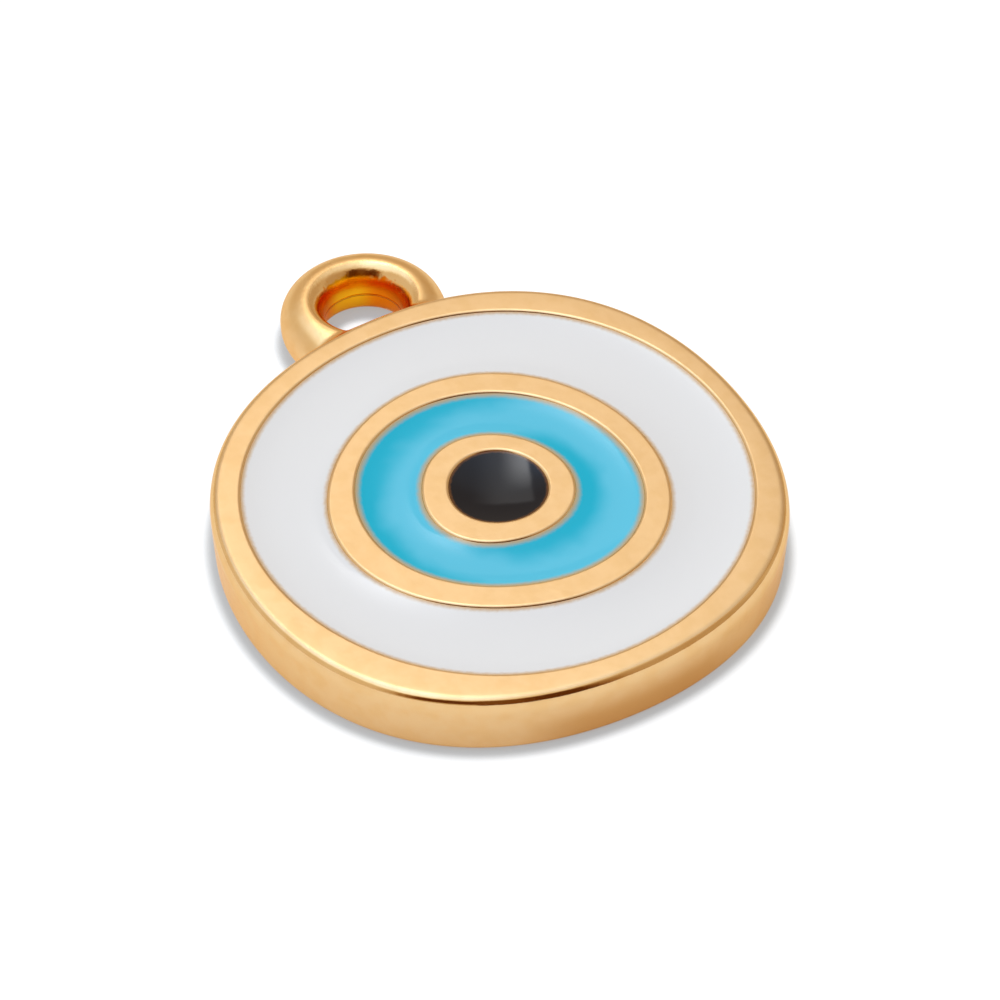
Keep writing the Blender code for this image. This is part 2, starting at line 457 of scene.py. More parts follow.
def loop_distance(points):
    """Distance outside the loop's ring, negative within, in millimetres."""
    x, y = points[:, 0] - LOOP_CENTRE[0], points[:, 1] - LOOP_CENTRE[1]
    turn = np.arctan2(y, x)
    across = np.hypot(x, y) - loop_path(turn)
    width = loop_half_width(turn, across)
    rise = (points[:, 2] - LOOP_CENTRE[2]) / LOOP_HALF_HEIGHT
    return oval_distance(np.abs(across) / width, np.abs(rise), width, LOOP_HALF_HEIGHT, section_power(rise))


def joined_distance(points):
    """The smooth minimum of both distances: the casting's own surface is where it is zero."""
    disc, loop = disc_distance(points), loop_distance(points)
    overlap = np.clip(FILLET - np.abs(disc - loop), 0.0, None) / FILLET
    return np.minimum(disc, loop) - overlap ** 2 * FILLET / 4.0


def steepest(points):
    """The direction in which the joined distance grows, and how fast."""
    slopes = np.zeros_like(points)
    for axis in range(3):
        step = np.zeros(3)
        step[axis] = SLOPE_STEP
        growth = joined_distance(points + step) - joined_distance(points - step)
        slopes[:, axis] = growth / (2 * SLOPE_STEP)
    size = np.maximum(np.linalg.norm(slopes, axis=1, keepdims=True), NEVER_ZERO)
    return slopes / size, size[:, 0]


def draw_onto_casting(points):
    for _ in range(DRAW_ROUNDS):
        direction, size = steepest(points)
        move = np.clip(joined_distance(points) / size, -DRAW_LIMIT, DRAW_LIMIT)
        points = points - direction * move[:, None]
    points[:, 2] = np.clip(points[:, 2], 0.0, heights["top"])
    return points


# %% Unite the skins and soften their crease
FILLET_EDGE = 0.045
LONG_EDGE = 1.4 * FILLET_EDGE
SHORT_EDGE = 0.45 * FILLET_EDGE
CREASE_REACH = 1.5  # the worked band reaches this many fillet sizes from the crease
REFINE_ROUNDS = 3
RELAX_ROUNDS = 12
RELAX_SHARE = 0.5  # of the way to the middle of a vertex's neighbours


def in_fixed_order(data):
    """The same mesh, sorted, because the order that a boolean gives varies by run."""
    points = np.array([vertex.co for vertex in data.vertices])
    order = np.lexsort(points.T)
    place = np.argsort(order).tolist()
    faces = []
    for face in data.polygons:
        corners = [place[index] for index in face.vertices]
        first = corners.index(min(corners))
        faces.append(corners[first:] + corners[:first])
    ordered = bpy.data.meshes.new("cast_skin")
    ordered.from_pydata(points[order].tolist(), [], sorted(faces))
    bpy.data.meshes.remove(data)
    return ordered


def unite(body, tool):
    modifier = body.modifiers.new("join_loop", "BOOLEAN")
    modifier.operation = "UNION"
    modifier.solver = "EXACT"
    modifier.object = tool
    joined = evaluated_mesh(body)
    bpy.data.objects.remove(tool)
    bpy.data.objects.remove(body)
    return in_fixed_order(joined)


def vertex_array(mesh):
    return np.array([vertex.co for vertex in mesh.verts]) / MM


def crease_weight(points):
    """1 at the crease, 0 where either surface is its plain self, and 0 on the flat rim."""
    gap = np.maximum(np.abs(disc_distance(points)), np.abs(loop_distance(points)))
    angles, radii = polar(points)
    beyond_flat = radii - outline_radius(outlines["disc"], angles) + RIM_ROUND_WIDTH
    outside = np.clip(beyond_flat / FLAT_SUPPORT - 1.0, 0.0, 1.0)
    return np.clip(CREASE_REACH - gap / FILLET, 0.0, 1.0) * outside


def near_crease(mesh):
    """For each vertex, whether it is in the worked band."""
    mesh.verts.index_update()
    return crease_weight(vertex_array(mesh)) > 0.0


def refine_near_crease(mesh):
    """Splits long edges and merges short ones, so the band's triangles are small and even."""
    for _ in range(REFINE_ROUNDS):
        near = near_crease(mesh)
        faces = [face for face in mesh.faces if all(near[vertex.index] for vertex in face.verts)]
        bmesh.ops.triangulate(mesh, faces=faces)
        edges = [edge for edge in mesh.edges if edge.calc_length() > LONG_EDGE * MM
                 and all(near[vertex.index] for vertex in edge.verts)]
        bmesh.ops.subdivide_edges(mesh, edges=edges, cuts=1)
        near = near_crease(mesh)
        faces = [face for face in mesh.faces if len(face.verts) > 3
                 and any(near[vertex.index] for vertex in face.verts)]
        bmesh.ops.triangulate(mesh, faces=faces)
        band = [vertex for vertex in mesh.verts if near[vertex.index]]
        bmesh.ops.remove_doubles(mesh, verts=band, dist=SHORT_EDGE * MM)


def soften_crease(mesh):
    refine_near_crease(mesh)
    mesh.verts.ensure_lookup_table()
    mesh.verts.index_update()
    points = vertex_array(mesh)
    weight = crease_weight(points)
    band = np.flatnonzero(weight > 0.0)
    neighbours = [[edge.other_vert(mesh.verts[index]).index for edge in mesh.verts[index].link_edges]
                  for index in band]
    counts = np.array([len(row) for row in neighbours])
    flat = np.concatenate([np.array(row) for row in neighbours])
    starts = np.concatenate([[0], np.cumsum(counts)[:-1]])
    for _ in range(RELAX_ROUNDS):
        middle = np.add.reduceat(points[flat], starts, axis=0) / counts[:, None]
        shift = (middle - points[band]) * (RELAX_SHARE * weight[band])[:, None]
        points[band] = draw_onto_casting(points[band] + shift)
    for vertex, point in zip(mesh.verts, points):
        vertex.co = point * MM
    return len(band)


cast_mesh = unite(disc_skin, loop_skin)
print("united casting:", len(cast_mesh.polygons), "faces")
with editing(cast_mesh) as opened:
    worked = soften_crease(opened)
gilded_casting = new_object("gilded_casting", cast_mesh)
cast_mesh.shade_smooth()
print("vertices drawn onto the soft crease:", worked, "faces now:", len(cast_mesh.polygons))

# %% [markdown]
# ## Poured enamel
#
# Enamel is poured into each cell as a syrup. It clings to the metal and lies lower in between, so
# its top is a shallow hollow. At its edge it laps over the small round shoulder of the metal, so
# no dark gap shows. Three cells of different size follow one rule, which is work for Geometry
# Nodes: one tree lays a grid round the cell, four times, for the top, the two walls and the
# underside. Its inputs are the two edges and the depth of the hollow, so it serves all three.

# %% Helpers that wire nodes
def fill(tree, node, inputs):
    """Gives a node's inputs their values or links."""
    for socket, value in inputs.items():
        if isinstance(value, bpy.types.NodeSocket):
            tree.links.new(value, node.inputs[socket])
        else:
            node.inputs[socket].default_value = value


def wire(tree, kind, inputs=None, **settings):
    """Adds a node, sets its options and fills its inputs."""
    node = tree.nodes.new(kind)
    for option, value in settings.items():
        setattr(node, option, value)
    fill(tree, node, inputs or {})
    return node


def calc(tree, operation, *values):
    """One step of arithmetic."""
    return wire(tree, "ShaderNodeMath", dict(enumerate(values)), operation=operation).outputs[0]


def step_of(operation):
    return lambda tree, *values: calc(tree, operation, *values)


plus, minus, times, over = map(step_of, ("ADD", "SUBTRACT", "MULTIPLY", "DIVIDE"))


def vector_calc(tree, operation, *values, result="Vector"):
    """One step of vector arithmetic."""
    return wire(tree, "ShaderNodeVectorMath", dict(enumerate(values)), operation=operation).outputs[result]


def new_group(name, inputs, outputs):
    """A Geometry Nodes tree with named inputs, given as name: (kind, value)."""
    tree = bpy.data.node_groups.new(name, "GeometryNodeTree")
    for socket, (kind, value) in inputs.items():
        made = tree.interface.new_socket(socket, in_out="INPUT", socket_type=f"NodeSocket{kind}")
        if value is not None:
            made.default_value = value
    for socket, kind in outputs.items():
        tree.interface.new_socket(socket, in_out="OUTPUT", socket_type=f"NodeSocket{kind}")
    return tree, tree.nodes.new("NodeGroupInput").outputs, tree.nodes.new("NodeGroupOutput").inputs


# %% Node group: a hand-made edge
WAVE_NAMES = ("Shift", "Oval", "Three Lobes", "Four Lobes")


def edge_inputs(prefix=""):
    inputs = {f"{prefix}Radius": ("Float", MM)}
    for wave in WAVE_NAMES:
        inputs[f"{prefix}{wave}"] = ("Float", 0.0)
        inputs[f"{prefix}{wave} Direction"] = ("Float", 0.0)
    return inputs


def hand_made_edge():
    """Radius = mean radius + the sum of size * cos(n * (angle - direction))."""
    tree, given, result = new_group("Hand-made edge", {"Angle": ("Float", 0.0), **edge_inputs()},
                                    {"Radius": "Float"})
    radius = given["Radius"]
    for number, wave in enumerate(WAVE_NAMES, start=1):
        turned = minus(tree, given["Angle"], given[f"{wave} Direction"])
        cosine = calc(tree, "COSINE", times(tree, turned, float(number)))
        radius = plus(tree, radius, times(tree, cosine, given[wave]))
    tree.links.new(radius, result["Radius"])
    return tree


def edge_values(outline, prefix):
    """The sizes of a measured outline as inputs of the tree, in metres and radians."""
    values = {f"{prefix}Radius": outline[0] * MM}
    for number, wave in enumerate(WAVE_NAMES, start=1):
        along, across = outline[2 * number - 1], outline[2 * number]
        values[f"{prefix}{wave}"] = math.hypot(along, across) * MM
        values[f"{prefix}{wave} Direction"] = math.atan2(across, along) / number
    return values


# %% Node tree: poured enamel
def shoulder_lap(tree, given, level):
    """How far the metal's round shoulder stands back from the wall at a level."""
    rise = minus(tree, level, minus(tree, given["Metal Top"], given["Shoulder"]))
    share = over(tree, rise, given["Shoulder"])
    share = wire(tree, "ShaderNodeClamp", {"Value": share, "Min": 0.0, "Max": 1.0}).outputs[0]
    reach = calc(tree, "SQRT", minus(tree, 1.0, times(tree, share, share)))
    back = times(tree, given["Shoulder"], minus(tree, 1.0, reach))
    return minus(tree, back, given["Clearance"])


def enamel_height(tree, given, share, edge_height):
    """The top of the enamel: a wide hollow that climbs to its edges."""
    lowest = given["Lowest Point"]
    inward = over(tree, minus(tree, lowest, share), calc(tree, "MAXIMUM", lowest, 0.001))
    outward = over(tree, minus(tree, share, lowest), minus(tree, 1.0, lowest))
    away = calc(tree, "MAXIMUM", calc(tree, "MAXIMUM", inward, outward), 0.0)
    climb = calc(tree, "POWER", away, given["Hollow Power"])
    hollow = times(tree, given["Hollow"], minus(tree, 1.0, climb))
    return minus(tree, edge_height, hollow)


def enamel_sheet(tree, given, edge_group, share_of, up_of):
    """One grid bent round the cell; share_of and up_of give its rows their place."""
    grid = wire(tree, "GeometryNodeMeshGrid", {"Size X": 1.0, "Size Y": 1.0,
                "Vertices X": given["Segments Round"], "Vertices Y": given["Rows Across"]})
    place = wire(tree, "ShaderNodeSeparateXYZ", {0: wire(tree, "GeometryNodeInputPosition").outputs[0]})
    angle = times(tree, plus(tree, place.outputs["X"], 0.5), 2.0 * math.pi)
    row = plus(tree, place.outputs["Y"], 0.5)
    edges = {}
    for side in ("Inner", "Outer"):
        group = wire(tree, "GeometryNodeGroup", node_tree=edge_group)
        tree.links.new(angle, group.inputs["Angle"])
        for socket in edge_inputs():
            tree.links.new(given[f"{side} {socket}"], group.inputs[socket])
        edges[side] = group.outputs["Radius"]
    share, up = share_of(row), up_of(row)
    edge_height = minus(tree, given["Metal Top"], given["Edge Drop"])
    depth = minus(tree, edge_height, given["Floor Height"])
    level = plus(tree, given["Floor Height"], times(tree, depth, up))
    lap = shoulder_lap(tree, given, level)
    outer = plus(tree, edges["Outer"], lap)
    inner_lap = times(tree, lap, minus(tree, 1.0, given["No Inner Wall"]))
    inner = minus(tree, edges["Inner"], inner_lap)
    radius = plus(tree, inner, times(tree, minus(tree, outer, inner), share))
    inner_gap = plus(tree, minus(tree, radius, inner), given["No Inner Wall"])
    from_wall = calc(tree, "MINIMUM", minus(tree, outer, radius), inner_gap)
    top = enamel_height(tree, given, share, edge_height)
    rise = times(tree, minus(tree, top, given["Floor Height"]), up)
    height = plus(tree, given["Floor Height"], rise)
    stored = wire(tree, "GeometryNodeStoreNamedAttribute", {"Geometry": grid.outputs["Mesh"],
                  "Name": "from_wall", "Value": from_wall}, data_type="FLOAT", domain="POINT")
    bent = wire(tree, "ShaderNodeCombineXYZ", {
        "X": times(tree, radius, calc(tree, "COSINE", angle)),
        "Y": times(tree, radius, calc(tree, "SINE", angle)),
        "Z": height})
    return wire(tree, "GeometryNodeSetPosition", {"Geometry": stored.outputs[0],
                "Position": bent.outputs[0]}).outputs[0]


def poured_enamel():
    edge_group = hand_made_edge()
    inputs = {**edge_inputs("Inner "), **edge_inputs("Outer "),
              "Segments Round": ("Int", 64), "Rows Across": ("Int", 16), "Finish": ("Material", None)}
    for socket in ("Metal Top", "Shoulder", "Edge Drop", "Clearance", "Floor Height", "Weld", "Hollow",
                   "Hollow Power", "Lowest Point", "No Inner Wall"):
        inputs[socket] = ("Float", 0.0)
    tree, given, result = new_group("Poured enamel", inputs, {"Geometry": "Geometry"})

    def eased(row):
        """Rows lie closer together near both walls."""
        cosine = calc(tree, "COSINE", times(tree, row, math.pi))
        return times(tree, minus(tree, 1.0, cosine), 0.5)

    def constant(value):
        return lambda row: plus(tree, value, 0.0)

    def reverse(row):
        return minus(tree, 1.0, row)

    sheets = [
        enamel_sheet(tree, given, edge_group, eased, constant(1.0)),
        enamel_sheet(tree, given, edge_group, constant(1.0), reverse),
        enamel_sheet(tree, given, edge_group, lambda row: eased(reverse(row)), constant(0.0)),
    ]
    inner_wall = enamel_sheet(tree, given, edge_group, constant(0.0), lambda row: row)
    is_ring = wire(tree, "FunctionNodeCompare", {0: given["No Inner Wall"], 1: 0.5},
                   data_type="FLOAT", operation="LESS_THAN").outputs[0]
    walled = wire(tree, "GeometryNodeSwitch", {"Switch": is_ring, "True": inner_wall},
                  input_type="GEOMETRY")
    joined = wire(tree, "GeometryNodeJoinGeometry")
    for sheet in sheets + [walled.outputs[0]]:
        tree.links.new(sheet, joined.inputs[0])
    welded = wire(tree, "GeometryNodeMergeByDistance", {"Geometry": joined.outputs[0],
                  "Distance": given["Weld"]})
    real = wire(tree, "GeometryNodeRealizeInstances", {"Geometry": welded.outputs[0]})
    finished = wire(tree, "GeometryNodeSetMaterial", {"Geometry": real.outputs[0],
                    "Material": given["Finish"]})
    tree.links.new(finished.outputs[0], result["Geometry"])
    return tree

# %% [markdown]
# ## Finishes
#
# Gold plate has no paint on it: its colour is the colour of its reflections. The flats are satin
# from fine sanding, and the rim's shoulder is polished. The loop is brushed by hand and keeps fine
# scratches. At one place of the side's foot, shade is painted in: the gold turns browner and darker
# towards the bottom. In the loop's hole the deep orange is painted shade and a painted reflection of
# gold in gold, deepest on its flanks, and the hole keeps the fine seam of its mould. Enamel is a
# glossy resin over a pigment, paler along a ring that is partly pooled pigment and partly a painted
# reflection, and so thin near the metal that the gold shines through. All this could be painted as
# images. We let it follow from the place on the piece instead, because that stays sharp at any
# distance.

# %% Materials
def new_material(name):
    material = bpy.data.materials.new(name)
    material.use_nodes = True
    tree = material.node_tree
    return material, tree, tree.nodes["Principled BSDF"]


def ramp(tree, value, low, high, start=0.0, end=1.0):
    """A soft step from start to end while value goes from low to high."""
    return wire(tree, "ShaderNodeMapRange", {"Value": value, "From Min": low, "From Max": high,
                "To Min": start, "To Max": end}, interpolation_type="SMOOTHSTEP").outputs[0]


def ramp_over(tree, value, lengths, start=0.0, end=1.0):
    """The same soft step between two lengths in millimetres."""
    return ramp(tree, value, lengths[0] * MM, lengths[1] * MM, start, end)


def noise(tree, vector, size, detail=2.0, roughness=0.5, distortion=0.0):
    """Noise with features about size millimetres wide."""
    return wire(tree, "ShaderNodeTexNoise", {"Vector": vector, "Scale": 1.0 / (size * MM), "Detail": detail,
                "Roughness": roughness, "Distortion": distortion}).outputs["Fac"]


def bump(tree, height, distance, **below):
    """A bump of that many millimetres, on top of the Normal that it may be given."""
    return wire(tree, "ShaderNodeBump", {"Height": height, "Strength": 1.0, "Distance": distance * MM,
                **below}).outputs[0]


def blend_colours(tree, share, first, second):
    first, second = (colour if isinstance(colour, bpy.types.NodeSocket) else (*colour, 1.0)
                     for colour in (first, second))
    return wire(tree, "ShaderNodeMix", {"Factor": share, 6: first, 7: second}, data_type="RGBA").outputs[2]


GOLD = (0.985, 0.650, 0.295)
GOLD_DEEP = (0.960, 0.610, 0.255)
SATIN_GOLD = (0.895, 0.615, 0.315)
SATIN_GOLD_DEEP = (0.865, 0.580, 0.280)
# painted in the loop's hole: its shade, and the deep orange of gold reflected in gold
HOLE_SHADE_AND_REFLECTION = (0.98, 0.51, 0.012)
HOLE_SHADE_AND_REFLECTION_DEEP = (0.92, 0.25, 0.004)
# painted shade: the side's foot turns browner and darker where it faces one bearing
PAINTED_SIDE_SHADE = (0.80, 0.43, 0.14)
SIDE_SHADE_BEARING = math.radians(-86.0)  # bearing of the side's darkest painted shade, from +X
SIDE_SHADE_SPREAD = (0.88, 0.99)  # cosine of the turn from there: no painted shade, full painted shade
SIDE_SHADE_LOW = 0.4  # full painted shade below this share of the side's height
GRAZING_TINT = (1.0, 0.85, 0.62, 1.0)
SATIN_ROUGHNESS = 0.34
POLISHED_ROUGHNESS = 0.10
SIDE_ROUGHNESS = 0.24
LOOP_ROUGHNESS = 0.20  # added on the loop, outside its funnel
MOTTLE_ROUGHNESS = 0.04  # added at most by the mottle
MOTTLE_DEEPENS = (0.35, 0.7)
# Depths below the casting's top between which a finish sets in, in millimetres
SATIN_DEPTHS = (0.05, 0.012)
BRUSHED_DEPTHS = (0.16, 0.04)
POLISHED_DEPTHS = (0.55, 0.40)
# Distances from the loop's middle between which a finish, or the painted shade in the hole, changes, in
# millimetres
LOOP_REACHES = (2.15, 2.35)
FUNNEL_REACHES = (1.2, 1.5)
HOLE_REACHES = (1.20, 1.27)
FLANKS = (0.25, 0.75)  # share of the reach that lies sideways, where the hole's painted shade gets deeper
SEAM_HEIGHT = 0.72  # where the halves of the mould met inside the loop
# Width of the marks and height of their bumps, in millimetres
MOTTLE = (0.5, 0.005)
GRAIN = (0.05, 0.0006)
SCRATCHES = (0.10, 0.0035)
SEAM = (0.04, 0.02)
RIPPLE = (1.2, 0.006)
# Width of a ragged border's waves, and how far they move it
RAGGED_WAVE = 0.12
HOLE_RAGGED = 0.24
ENAMEL_RAGGED = 0.06


def level_part(tree, vector):
    return vector_calc(tree, "MULTIPLY", vector, (1.0, 1.0, 0.0))


def level_distance(tree, place, centre):
    """Distance from an upright axis through centre, which is given in millimetres."""
    offset = vector_calc(tree, "SUBTRACT", place, [value * MM for value in centre])
    return vector_calc(tree, "LENGTH", level_part(tree, offset), result="Value")


def inside_loop(tree, place, reach):
    """1 in the loop's hole and lowest on its funnel, with a ragged border; the hole's painted shade and
    reflection, and its seam, lie there.
    """
    ragged = times(tree, noise(tree, place, RAGGED_WAVE, detail=3.0), HOLE_RAGGED * MM)
    return ramp_over(tree, plus(tree, reach, ragged), HOLE_REACHES, 1.0, 0.0)


def painted_side_shade(tree, place, height):
    """1 where shade is painted on the side near its foot, fading up to the polished shoulder."""
    outward = vector_calc(tree, "NORMALIZE", level_part(tree, place))
    middle = (math.cos(SIDE_SHADE_BEARING), math.sin(SIDE_SHADE_BEARING), 0.0)
    facing = vector_calc(tree, "DOT_PRODUCT", outward, middle, result="Value")
    spring = heights["spring"] * MM
    below = ramp(tree, height, SIDE_SHADE_LOW * spring, spring, 1.0, 0.0)
    return times(tree, ramp(tree, facing, *SIDE_SHADE_SPREAD), below)


def gold_roughness(tree, height, reach, satin, mottle):
    """Polished, apart from the satin flats, the foot of the side and the brushed loop."""
    below_rim = below_top(tree, height, BRUSHED_DEPTHS, 1.0, 0.0)
    on_loop = times(tree, ramp_over(tree, reach, LOOP_REACHES, 1.0, 0.0), below_rim)
    low = below_top(tree, height, POLISHED_DEPTHS, SIDE_ROUGHNESS, POLISHED_ROUGHNESS)
    rough = plus(tree, low, times(tree, satin, SATIN_ROUGHNESS - POLISHED_ROUGHNESS))
    outside_funnel = ramp_over(tree, reach, FUNNEL_REACHES, 0.0, LOOP_ROUGHNESS)
    rough = plus(tree, rough, times(tree, on_loop, outside_funnel))
    return plus(tree, rough, times(tree, mottle, MOTTLE_ROUGHNESS)), on_loop


def below_top(tree, height, depths, start=0.0, end=1.0):
    """A soft step between two depths below the casting's top."""
    top = heights["top"] * MM
    return ramp(tree, height, top - depths[0] * MM, top - depths[1] * MM, start, end)


def gold_material():
    material, tree, shader = new_material("gold_plate")
    place = wire(tree, "ShaderNodeTexCoord").outputs["Object"]
    sideways, _, height = wire(tree, "ShaderNodeSeparateXYZ", {0: place}).outputs
    reach = level_distance(tree, place, LOOP_CENTRE)
    satin = below_top(tree, height, SATIN_DEPTHS)
    mottle = noise(tree, place, MOTTLE[0])
    rough, on_loop = gold_roughness(tree, height, reach, satin, mottle)
    deeper = ramp(tree, mottle, *MOTTLE_DEEPENS)
    colour = blend_colours(tree, satin, blend_colours(tree, deeper, GOLD, GOLD_DEEP),
                           blend_colours(tree, deeper, SATIN_GOLD, SATIN_GOLD_DEEP))
    # painted shade on the side's foot
    colour = blend_colours(tree, painted_side_shade(tree, place, height), colour, PAINTED_SIDE_SHADE)
    # painted shade and reflection: the loop's hole is deep orange, deepest on its flanks
    flank = ramp(tree, over(tree, calc(tree, "ABSOLUTE", sideways), reach), *FLANKS)
    hole_shade_and_reflection = blend_colours(tree, flank, HOLE_SHADE_AND_REFLECTION, HOLE_SHADE_AND_REFLECTION_DEEP)
    inside = inside_loop(tree, place, reach)
    colour = blend_colours(tree, inside, colour, hole_shade_and_reflection)
    waves = bump(tree, mottle, MOTTLE[1])
    fine = bump(tree, noise(tree, place, GRAIN[0], detail=3.0), GRAIN[1], Normal=waves)
    brushed = noise(tree, place, SCRATCHES[0], detail=3.0, roughness=0.6)
    scratches = bump(tree, times(tree, brushed, on_loop), SCRATCHES[1], Normal=fine)
    from_seam = calc(tree, "ABSOLUTE", minus(tree, height, SEAM_HEIGHT * MM))
    seam_line = times(tree, ramp_over(tree, from_seam, (0.0, SEAM[0]), 1.0, 0.0), inside)
    seam = bump(tree, seam_line, SEAM[1], Normal=scratches)
    fill(tree, shader, {"Metallic": 1.0, "Specular Tint": GRAZING_TINT, "Roughness": rough,
                        "Base Color": colour, "Normal": seam})
    return material


# For each enamel: pigment, its paler tone where pigment pooled and a reflection is painted,
# tint and width of its thin edge, index of refraction
ENAMEL_LOOKS = {
    "white": ((0.94, 0.94, 0.885), (0.95, 0.945, 0.895), (0.74, 0.50, 0.26), 0.14, 1.45),
    "turquoise": ((0.004, 0.55, 0.73), (0.11, 0.66, 0.85), (0.62, 0.47, 0.25), 0.18, 1.40),
    "black": ((0.001, 0.003, 0.009), (0.001, 0.003, 0.009), (0.16, 0.06, 0.015), 0.08, 1.43),
}
ENAMEL_ROUGHNESS = 0.07
# a paler ring on the enamel: partly pooled pigment, partly a painted reflection of the softbox
SHEEN_POOL_MIDDLE = (0.32, -0.42, 0.0)
SHEEN_POOL_RADIUS = 2.69
SHEEN_POOL_FADE = (0.25, 0.95)
SHEEN_POOL_CLOUD = 1.5  # width of the waves in the pale ring
SHEEN_POOL_CLOUD_MOVE = 0.14  # how far they move it


def pale_pool_and_sheen(tree, place):
    """1 along a soft ring where the enamel looks paler: partly pooled pigment, partly a painted reflection.
    """
    cloud = ramp(tree, noise(tree, place, SHEEN_POOL_CLOUD, distortion=0.2), 0.3, 0.7,
                 -SHEEN_POOL_CLOUD_MOVE * MM, SHEEN_POOL_CLOUD_MOVE * MM)
    reach = level_distance(tree, place, SHEEN_POOL_MIDDLE)
    away = calc(tree, "ABSOLUTE", plus(tree, minus(tree, reach, SHEEN_POOL_RADIUS * MM), cloud))
    return ramp_over(tree, away, SHEEN_POOL_FADE, 1.0, 0.0)


def enamel_material(name, pigment, pale, edge_tint, edge_width, refraction):
    material, tree, shader = new_material(name)
    place = wire(tree, "ShaderNodeTexCoord").outputs["Object"]
    from_wall = wire(tree, "ShaderNodeAttribute", attribute_name="from_wall").outputs["Fac"]
    # paler ring: partly pigment, partly painted reflection
    body = blend_colours(tree, pale_pool_and_sheen(tree, place), pigment, pale)
    wave = minus(tree, noise(tree, place, RAGGED_WAVE), 0.5)
    ragged = times(tree, wave, ENAMEL_RAGGED * MM)
    thin = ramp_over(tree, plus(tree, from_wall, ragged), (0.0, edge_width), 1.0, 0.0)
    ripple = bump(tree, noise(tree, place, RIPPLE[0]), RIPPLE[1])
    fill(tree, shader, {"Base Color": blend_colours(tree, thin, body, edge_tint), "IOR": refraction,
                        "Roughness": ENAMEL_ROUGHNESS, "Normal": ripple})
    return material


gilded_casting.data.materials.clear()
gilded_casting.data.materials.append(gold_material())
finishes = {colour: enamel_material(f"{colour}_enamel", *look) for colour, look in ENAMEL_LOOKS.items()}
print("finishes: gold plate, and enamel in", *finishes)

# %% Pour the enamel
EDGE_DROP = 0.045
CLEARANCE = 0.002
UNDER_GAP = 0.03
WELD = 0.0005
SHARP_ANGLE = math.radians(35.0)
# For each enamel: depth of the hollow in millimetres, its power, columns round, rows across
POUR_COLUMNS = ("Hollow", "Hollow Power", "Segments Round", "Rows Across")
POURS = {
    "white": (0.08, 2.4, 385, 48),
    "turquoise": (0.09, 2.0, 289, 40),
    "black": (0.14, 2.0, 193, 40),
}
NO_INNER_EDGE = np.zeros(1 + 2 * WAVES)


def pour(colour, tree):
    settings = dict(zip(POUR_COLUMNS, POURS[colour]))
    inner = outlines.get(f"{colour}_inner", NO_INNER_EDGE)
    settings["Hollow"] *= MM
    settings.update(edge_values(inner, "Inner "))
    settings.update(edge_values(outlines[f"{colour}_outer"], "Outer "))
    lengths = {"Metal Top": heights["top"], "Floor Height": heights["floor"] + UNDER_GAP, "Weld": WELD,
               "Shoulder": SHOULDER, "Edge Drop": EDGE_DROP, "Clearance": CLEARANCE}
    settings.update({socket: length * MM for socket, length in lengths.items()})
    settings["Lowest Point"] = 0.5 if inner.any() else 0.0
    settings["No Inner Wall"] = 0.0 if inner.any() else 1.0
    settings["Finish"] = finishes[colour]
    seed = make_object(f"{colour}_seed", [(0.0, 0.0, 0.0)], [])
    modifier = seed.modifiers.new("pour", "NODES")
    modifier.node_group = tree
    for socket in tree.interface.items_tree:
        if socket.item_type == "SOCKET" and socket.in_out == "INPUT":
            modifier[socket.identifier] = settings[socket.name]
    data = evaluated_mesh(seed)
    bpy.data.objects.remove(seed)
    return close_and_smooth(data, f"{colour}_enamel")


def close_and_smooth(data, name):
    with editing(data) as mesh:
        open_edges = sum(1 for edge in mesh.edges if not edge.is_manifold)
    data.name = name
    data.shade_smooth()
    data.set_sharp_from_angle(angle=SHARP_ANGLE)
    print(f"{name}: {len(data.polygons)} faces, {open_edges} open edges")
    return new_object(name, data)


pour_tree = poured_enamel()
print("pouring tree:", len(pour_tree.nodes), "nodes")
enamels = {colour: pour(colour, pour_tree) for colour in POURS}

# %% [markdown]
# ## Light and floor
#
# Polished metal shows the room it stands in, so the room is part of the finish. A photographer's
# table is white, with softboxes above it and darker walls around. A procedural sky gives the same
# with little noise. A softbox is a soft-edged rectangle on a plane that faces the pendant, and a
# wall is a soft-edged range of directions. Azimuths count from the camera's far direction to its
# right. Dark walls are warm wood and bright ones bluish daylight, so one number, the glow, gives
# each place its colour too. The camera itself sees a plain pale backdrop in the distance.

# %% Light the table
# For each softbox: azimuth and elevation of its middle in degrees, then its four sides on the
# plane one unit away, each with the width of its soft border, and its glow
SOFTBOX_COLUMNS = ("azimuth", "elevation", "left", "left_soft", "right", "right_soft",
                   "bottom", "bottom_soft", "top", "top_soft", "glow")
WINDOWS = {
    "window": (0, 60, -0.235, 0.03, -0.06, 0.26, -0.50, 0.07, 0.60, 0.40, 0.60),
    "window_lamp": (0, 60, -0.235, 0.03, -0.20, 0.20, -0.30, 0.36, 0.28, 0.20, 3.6),
}
KEY_LIGHT = (-108, 60, -0.75, 0.35, 0.65, 0.45, -0.40, 0.30, 0.35, 0.30, 0.45)
# For each wall: its range of azimuth and elevation in degrees, each side with its soft border
WALL_COLUMNS = SOFTBOX_COLUMNS[2:]
BASE_GLOW = 0.535
WALLS = {
    "ceiling": (-400, 1, 400, 1, 38, 36, 200, 1, 0.42),
    "zenith": (-400, 1, 400, 1, 72, 10, 200, 1, 0.14),
    "left_wall": (-155, 15, -40, 40, -10, 1, 60, 20, 0.12),
    "far_wall": (-60, 20, 60, 20, 6, 8, 36, 12, -0.13),
    "far_right": (2, 8, 38, 10, 40, 6, 66, 12, 0.02),
    "right_wall": (72, 20, 150, 15, -10, 1, 50, 20, -0.16),
    "camera_right": (126, 24, 200, 1, -10, 1, 46, 10, -0.47),
    "camera_left": (-200, 1, -156, 24, 4, 8, 38, 10, -0.50),
}
DARKEST = 0.03
BEHIND = 0.01  # a softbox glows only where it is at least this far ahead
